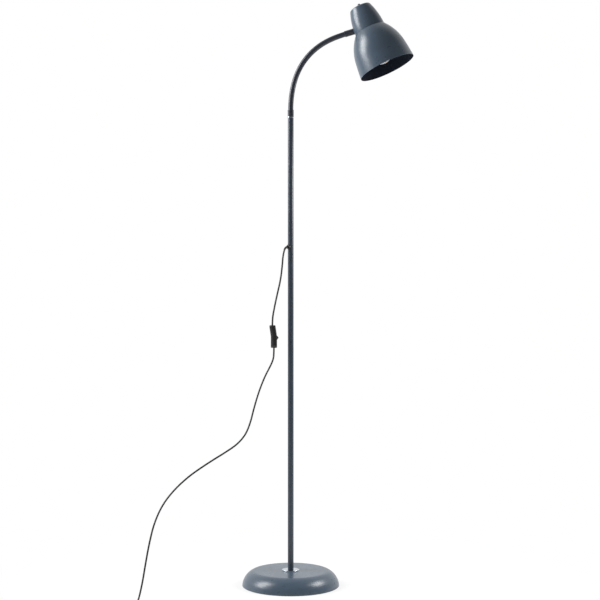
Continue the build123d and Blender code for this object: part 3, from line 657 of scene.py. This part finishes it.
def studio_board():
    """White studio board, as bright as the surroundings away from the lamp, so no edge shows."""
    finish, tree, shader = new_finish("studio_board")
    output = tree.nodes["Material Output"]
    shader.inputs["Base Color"].default_value = (0.9, 0.9, 0.9, 1)
    shader.inputs["Roughness"].default_value = 0.8
    glow = add_node(
        tree, "ShaderNodeEmission", inputs={"Color": (1, 1, 1, 1), "Strength": background_level}
    )
    place = add_node(tree, "ShaderNodeTexCoord")
    behind = backdrop_side(tree, place.outputs["Object"], *floor_fade)
    reach = add_node(
        tree, "ShaderNodeVectorMath", {"operation": "LENGTH"}, {0: place.outputs["Object"]}
    )
    far = add_node(
        tree,
        "ShaderNodeMapRange",
        {"interpolation_type": "SMOOTHSTEP"},
        {
            "Value": reach.outputs["Value"],
            "From Min": shadow_fade[0],
            "From Max": shadow_fade[1],
            "To Min": shadow_glow,
            "To Max": background_level,
        },
    )
    share = add_node(
        tree,
        "ShaderNodeMath",
        {"operation": "MULTIPLY"},
        {0: far.outputs["Result"], 1: shown(tree, behind)},
    )
    mix = add_node(
        tree,
        "ShaderNodeMixShader",
        inputs={0: share.outputs[0], 1: shader.outputs["BSDF"], 2: glow.outputs["Emission"]},
    )
    tree.links.new(mix.outputs["Shader"], output.inputs["Surface"])
    return finish


# The lamp's own finishes


def dress_solids(finishes):
    """Each solid that shows gets its finish."""
    for part in frame["record"]["subparts"]:
        made = frame["nodes"][part["node"]]
        made.data.materials.clear()
        made.data.materials.append(finishes.get(part["node"]) or finishes[part["material_slot"]])


lacquer = satin_lacquer("slate_grey_lacquer", ("#435261", "#485766"))
# painted shade: the poles are the same lacquer as the base and shade, drawn darker for the dimmer light
# on them
tube_lacquer_painted_shade = satin_lacquer("tube_lacquer_painted_shade", ("#2c3743", "#313c48"))
sleeve_lacquer = satin_lacquer("neck_sleeve_lacquer", ("#232935", "#282e3a"), (0.3, 0.38))
# painted shade: the lampshade's inside is the same slate lacquer as its outside, drawn near-black for
# the shade within it
dark_lining_painted_shade = satin_lacquer("lining_painted_shade", ("#141a28", "#181e2c"), (0.7, 0.8), 1.3)
finishes = {
    "pole_lower": tube_lacquer_painted_shade,
    "pole_middle": tube_lacquer_painted_shade,
    "pole_upper": tube_lacquer_painted_shade,
    "grey_lacquer": lacquer,
    "neck_sleeve": sleeve_lacquer,
    "grey_ferrule": sleeve_lacquer,
    "polished_ring": bare_metal(
        "chrome_ring", ("#b4bcc4", "#c3cad1"), (0.13, 0.19), 3 * mm, 0.002 * mm
    ),
    "satin_nut": bare_metal(
        "satin_nickel", ("#83888a", "#95999a"), (0.28, 0.4), 0.6 * mm, 0.01 * mm
    ),
    "cast_iron": bare_metal(
        "sand_cast_iron", ("#3a3836", "#4a4845"), (0.5, 0.7), 1.5 * mm, 0.15 * mm
    ),
    "zinc_steel": bare_metal(
        "zinc_plated_steel", ("#a9adb0", "#bcc0c2"), (0.26, 0.38), mm, 0.01 * mm
    ),
    "foot_pad": foam_pad("foam_pad", ("#1d1d1e", "#2b2b2c")),
    "black_plastic": moulded_plastic("black_abs", ("#0a0a0a", "#0e0e0e"), (0.37, 0.47), 0.02 * mm),
    "black_rocker": moulded_plastic(
        "black_rocker_abs", ("#080808", "#0c0c0c"), (0.25, 0.35), 0.008 * mm
    ),
    # painted highlight: the switch's back shell is the same black plastic as its front, drawn lighter
    # grey for the light on that side
    "grey_plastic": moulded_plastic(
        "grey_abs_painted_highlight", ("#2c2c2e", "#333335"), (0.43, 0.53), 0.02 * mm
    ),
    "holder_plastic": moulded_plastic(
        "black_bakelite", ("#141312", "#1b1a18"), (0.23, 0.33), 0.006 * mm
    ),
    "lead_sheath": lead_sheath("black_pvc_sheath", ("#0a0b0c", "#0f1011")),
    "inner_lead": lead_sheath("white_insulation", ("#d8d8d2", "#e2e2dd")),
    "tie_plastic": lead_sheath("black_strip", ("#161616", "#1c1c1c")),
    "brass": bare_metal("turned_brass", ("#b99550", "#c9a660"), (0.24, 0.36), 0.5 * mm, 0.01 * mm),
    "plated_pins": bare_metal(
        "nickel_plate", ("#c4c2bb", "#d2d0ca"), (0.14, 0.22), 1.5 * mm, 0.004 * mm
    ),
    # painted shade: the bulb is opal white, drawn grey for the shade it sits in inside the lampshade
    "frosted_glass": coated_glass("bulb_glass_painted_shade", ("#9a9fa6", "#a6abb1")),
    "bulb_cap_metal": bare_metal(
        "rolled_aluminium", ("#c0c2c4", "#cfd1d3"), (0.24, 0.36), 0.8 * mm, 0.01 * mm
    ),
}

bpy.context.scene.view_settings.view_transform = "Standard"
photo_camera()
dress_solids(finishes)
mains_lead(finishes["lead_sheath"])
neck(finishes["neck_sleeve"], finishes["inner_lead"])
pole_top_ring(finishes["polished_ring"])
bell_shade(lacquer, dark_lining_painted_shade)
studio()
